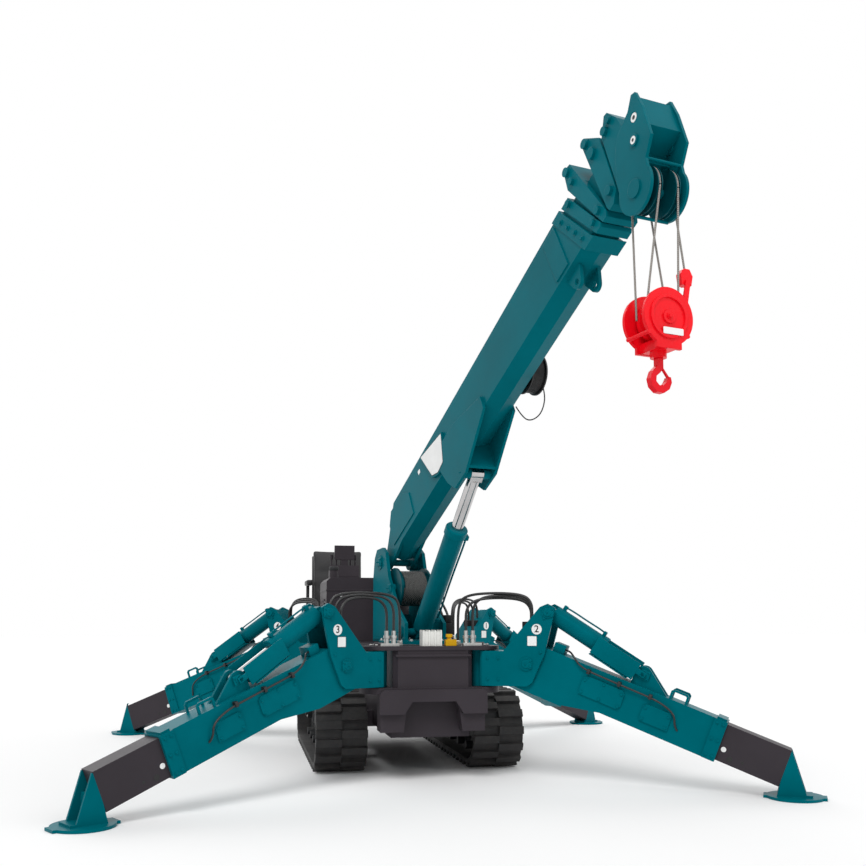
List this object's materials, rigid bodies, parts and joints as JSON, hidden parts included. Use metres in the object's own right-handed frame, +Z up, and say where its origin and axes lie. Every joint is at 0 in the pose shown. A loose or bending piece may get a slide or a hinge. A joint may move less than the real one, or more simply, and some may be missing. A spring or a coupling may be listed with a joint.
{
  "type": "mini crawler crane",
  "caption": "Small crawler crane on rubber tracks with a slewing column, a telescopic boom, a hook block and swing-out outriggers.",
  "frame": {"origin": "on the ground, at the middle of the machine's overall length and width as it stands with its outriggers out", "axes": "+Z up, -Y ahead (the way the boom and the bumper face), +X to the right as seen from ahead; +Y runs along the longest extent"},
  "size_m": [4.2128, 4.9526, 3.1415],
  "materials": {
    "black_plastic": "matt",
    "charcoal_cover": "satin paint",
    "chrome": "polished",
    "cylinder_paint": "semi-gloss paint",
    "drum_metal": "zinc-grey metal",
    "fitting_steel": "zinc plated",
    "hook_paint": "gloss paint",
    "lamp_white": "smooth",
    "motor_paint": "satin paint",
    "red_paint": "gloss paint",
    "rope_steel": "bare wire",
    "rubber": "moulded rubber",
    "seat_cover": "vinyl seat cover",
    "seat_stand_paint": "satin paint",
    "steel_frames": "dark grey paint",
    "tank_paint": "satin paint",
    "teal_paint": "semi-gloss paint",
    "valve_yellow": "satin paint"
  },
  "bodies": {
    "carrier": {"chassis": "charcoal_cover", "track_left": "rubber", "track_right": "rubber", "track_frames": "steel_frames", "work_lamp": "lamp_white", "hose_fittings": "fitting_steel", "shut_off_valve": "valve_yellow", "hood": "charcoal_cover", "tank": "tank_paint", "seat_stand": "seat_stand_paint", "seat": "seat_cover", "console": "charcoal_cover"},
    "upper": {"column": "teal_paint", "winch_drum": "drum_metal", "winch_motor": "motor_paint"},
    "boom": {"boom_base": "teal_paint", "cable_reel": "black_plastic"},
    "section_2": {"boom_section_2": "teal_paint"},
    "section_3": {"boom_section_3": "teal_paint"},
    "section_4": {"boom_section_4": "teal_paint"},
    "section_5": {"boom_section_5": "teal_paint", "head_sheaves": "steel_frames"},
    "hook_assembly": {"rope_falls": "rope_steel", "rope_socket": "red_paint", "hook_block": "red_paint", "hook": "hook_paint"},
    "luff_barrel": {"luff_barrel": "cylinder_paint"},
    "luff_rod": {"luff_rod": "chrome"},
    "bracket_front_left": {"bracket_front_left": "teal_paint"},
    "arm_front_left": {"arm_front_left": "teal_paint"},
    "barrel_front_left": {"barrel_front_left": "cylinder_paint"},
    "rod_front_left": {"rod_front_left": "chrome"},
    "beam_front_left": {"beam_front_left": "charcoal_cover", "pad_front_left": "teal_paint"},
    "bracket_front_right": {"bracket_front_right": "teal_paint"},
    "arm_front_right": {"arm_front_right": "teal_paint"},
    "barrel_front_right": {"barrel_front_right": "cylinder_paint"},
    "rod_front_right": {"rod_front_right": "chrome"},
    "beam_front_right": {"beam_front_right": "charcoal_cover", "pad_front_right": "teal_paint"},
    "bracket_rear_left": {"bracket_rear_left": "teal_paint"},
    "arm_rear_left": {"arm_rear_left": "teal_paint"},
    "barrel_rear_left": {"barrel_rear_left": "cylinder_paint"},
    "rod_rear_left": {"rod_rear_left": "chrome"},
    "beam_rear_left": {"beam_rear_left": "charcoal_cover", "pad_rear_left": "teal_paint"},
    "bracket_rear_right": {"bracket_rear_right": "teal_paint"},
    "arm_rear_right": {"arm_rear_right": "teal_paint"},
    "barrel_rear_right": {"barrel_rear_right": "cylinder_paint"},
    "rod_rear_right": {"rod_rear_right": "chrome"},
    "beam_rear_right": {"beam_rear_right": "charcoal_cover", "pad_rear_right": "teal_paint"}
  },
  "joints": [
    {"name": "slew", "type": "hinge", "parent": "carrier", "child": "upper", "pos_m": [0, 0.09265, 0.786], "axis": [0, 0, 1], "continuous": true},
    {"name": "luff", "type": "hinge", "parent": "upper", "child": "boom", "pos_m": [-0.06231, 0.36255, 1.3], "axis": [-0.9744, -0.225, 0], "range_deg": [-29, 49]},
    {"name": "luff_barrel_turn", "type": "hinge", "parent": "upper", "child": "luff_barrel", "pos_m": [0.018, 0.0147, 0.85], "axis": [-0.9744, -0.225, 0], "range_deg": [-24.85, 41.85]},
    {"name": "luff_rod_slide", "type": "slide", "parent": "luff_barrel", "child": "luff_rod", "axis": [0.1463, -0.6339, 0.7595], "range_m": [-0.2743, 0.4621]},
    {"name": "telescope_2", "type": "slide", "parent": "boom", "child": "section_2", "axis": [0.1967, -0.8522, 0.4848], "range_m": [0, 1.9]},
    {"name": "telescope_3", "type": "slide", "parent": "section_2", "child": "section_3", "axis": [0.1967, -0.8522, 0.4848], "range_m": [-0.001, 1.901]},
    {"name": "telescope_4", "type": "slide", "parent": "section_3", "child": "section_4", "axis": [0.1967, -0.8522, 0.4848], "range_m": [-0.001, 1.901]},
    {"name": "telescope_5", "type": "slide", "parent": "section_4", "child": "section_5", "axis": [0.1967, -0.8522, 0.4848], "range_m": [-0.001, 1.901]},
    {"name": "hook_swing", "type": "hinge", "parent": "section_5", "child": "hook_assembly", "pos_m": [0.56244, -2.34354, 2.70455], "axis": [0.9744, 0.225, 0], "range_deg": [-29, 49]},
    {"name": "swivel_front_left", "type": "hinge", "parent": "carrier", "child": "bracket_front_left", "pos_m": [-0.295, -0.35435, 0.64], "axis": [0, 0, 1], "range_deg": [-25, 20]},
    {"name": "arm_front_left", "type": "hinge", "parent": "bracket_front_left", "child": "arm_front_left", "pos_m": [-0.56329, -0.51941, 0.675], "axis": [-0.524, 0.8517, 0], "range_deg": [-5, 30]},
    {"name": "barrel_turn_front_left", "type": "hinge", "parent": "bracket_front_left", "child": "barrel_front_left", "pos_m": [-0.67402, -0.58752, 0.97], "axis": [-0.524, 0.8517, 0], "range_deg": [-5.4, 31.38]},
    {"name": "rod_slide_front_left", "type": "slide", "parent": "barrel_front_left", "child": "rod_front_left", "axis": [-0.7137, -0.439, -0.5458], "range_m": [-0.1686, 0.0298]},
    {"name": "beam_slide_front_left", "type": "slide", "parent": "arm_front_left", "child": "beam_front_left", "axis": [-0.7941, -0.4885, -0.3616], "range_m": [-0.3, 0.25]},
    {"name": "swivel_front_right", "type": "hinge", "parent": "carrier", "child": "bracket_front_right", "pos_m": [0.295, -0.35435, 0.64], "axis": [0, 0, -1], "range_deg": [-25, 20]},
    {"name": "arm_front_right", "type": "hinge", "parent": "bracket_front_right", "child": "arm_front_right", "pos_m": [0.56329, -0.51941, 0.675], "axis": [-0.524, -0.8517, 0], "range_deg": [-5, 30]},
    {"name": "barrel_turn_front_right", "type": "hinge", "parent": "bracket_front_right", "child": "barrel_front_right", "pos_m": [0.67402, -0.58752, 0.97], "axis": [-0.524, -0.8517, 0], "range_deg": [-5.4, 31.38]},
    {"name": "rod_slide_front_right", "type": "slide", "parent": "barrel_front_right", "child": "rod_front_right", "axis": [0.7137, -0.439, -0.5458], "range_m": [-0.1686, 0.0298]},
    {"name": "beam_slide_front_right", "type": "slide", "parent": "arm_front_right", "child": "beam_front_right", "axis": [0.7941, -0.4885, -0.3616], "range_m": [-0.3, 0.25]},
    {"name": "swivel_rear_left", "type": "hinge", "parent": "carrier", "child": "bracket_rear_left", "pos_m": [-0.446, 1.35065, 0.64], "axis": [0, 0, -1], "range_deg": [-20, 20]},
    {"name": "arm_rear_left", "type": "hinge", "parent": "bracket_rear_left", "child": "arm_rear_left", "pos_m": [-0.70988, 1.52267, 0.675], "axis": [0.5461, 0.8377, 0], "range_deg": [-5, 30]},
    {"name": "barrel_turn_rear_left", "type": "hinge", "parent": "bracket_rear_left", "child": "barrel_rear_left", "pos_m": [-0.81878, 1.59367, 0.97], "axis": [0.5461, 0.8377, 0], "range_deg": [-5.4, 31.38]},
    {"name": "rod_slide_rear_left", "type": "slide", "parent": "barrel_rear_left", "child": "rod_rear_left", "axis": [-0.7019, 0.4576, -0.5458], "range_m": [-0.1686, 0.0298]},
    {"name": "beam_slide_rear_left", "type": "slide", "parent": "arm_rear_left", "child": "beam_rear_left", "axis": [-0.781, 0.5091, -0.3616], "range_m": [-0.3, 0.25]},
    {"name": "swivel_rear_right", "type": "hinge", "parent": "carrier", "child": "bracket_rear_right", "pos_m": [0.446, 1.35065, 0.64], "axis": [0, 0, 1], "range_deg": [-20, 20]},
    {"name": "arm_rear_right", "type": "hinge", "parent": "bracket_rear_right", "child": "arm_rear_right", "pos_m": [0.70988, 1.52267, 0.675], "axis": [0.5461, -0.8377, 0], "range_deg": [-5, 30]},
    {"name": "barrel_turn_rear_right", "type": "hinge", "parent": "bracket_rear_right", "child": "barrel_rear_right", "pos_m": [0.81878, 1.59367, 0.97], "axis": [0.5461, -0.8377, 0], "range_deg": [-5.4, 31.38]},
    {"name": "rod_slide_rear_right", "type": "slide", "parent": "barrel_rear_right", "child": "rod_rear_right", "axis": [0.7019, 0.4576, -0.5458], "range_m": [-0.1686, 0.0298]},
    {"name": "beam_slide_rear_right", "type": "slide", "parent": "arm_rear_right", "child": "beam_rear_right", "axis": [0.781, 0.5091, -0.3616], "range_m": [-0.3, 0.25]}
  ],
  "couplings": [
    {"joint": "luff_barrel_turn", "follows": "luff", "ratio": 0.85},
    {"joint": "luff_rod_slide", "follows": "luff", "m_per_rad": 0.538},
    {"joint": "telescope_3", "follows": "telescope_2", "ratio": 1},
    {"joint": "telescope_4", "follows": "telescope_2", "ratio": 1},
    {"joint": "telescope_5", "follows": "telescope_2", "ratio": 1},
    {"joint": "barrel_turn_front_left", "follows": "arm_front_left", "ratio": 1.0393},
    {"joint": "rod_slide_front_left", "follows": "arm_front_left", "m_per_rad": -0.3182},
    {"joint": "barrel_turn_front_right", "follows": "arm_front_right", "ratio": 1.0393},
    {"joint": "rod_slide_front_right", "follows": "arm_front_right", "m_per_rad": -0.3182},
    {"joint": "barrel_turn_rear_left", "follows": "arm_rear_left", "ratio": 1.0393},
    {"joint": "rod_slide_rear_left", "follows": "arm_rear_left", "m_per_rad": -0.3182},
    {"joint": "barrel_turn_rear_right", "follows": "arm_rear_right", "ratio": 1.0393},
    {"joint": "rod_slide_rear_right", "follows": "arm_rear_right", "m_per_rad": -0.3182}
  ]
}
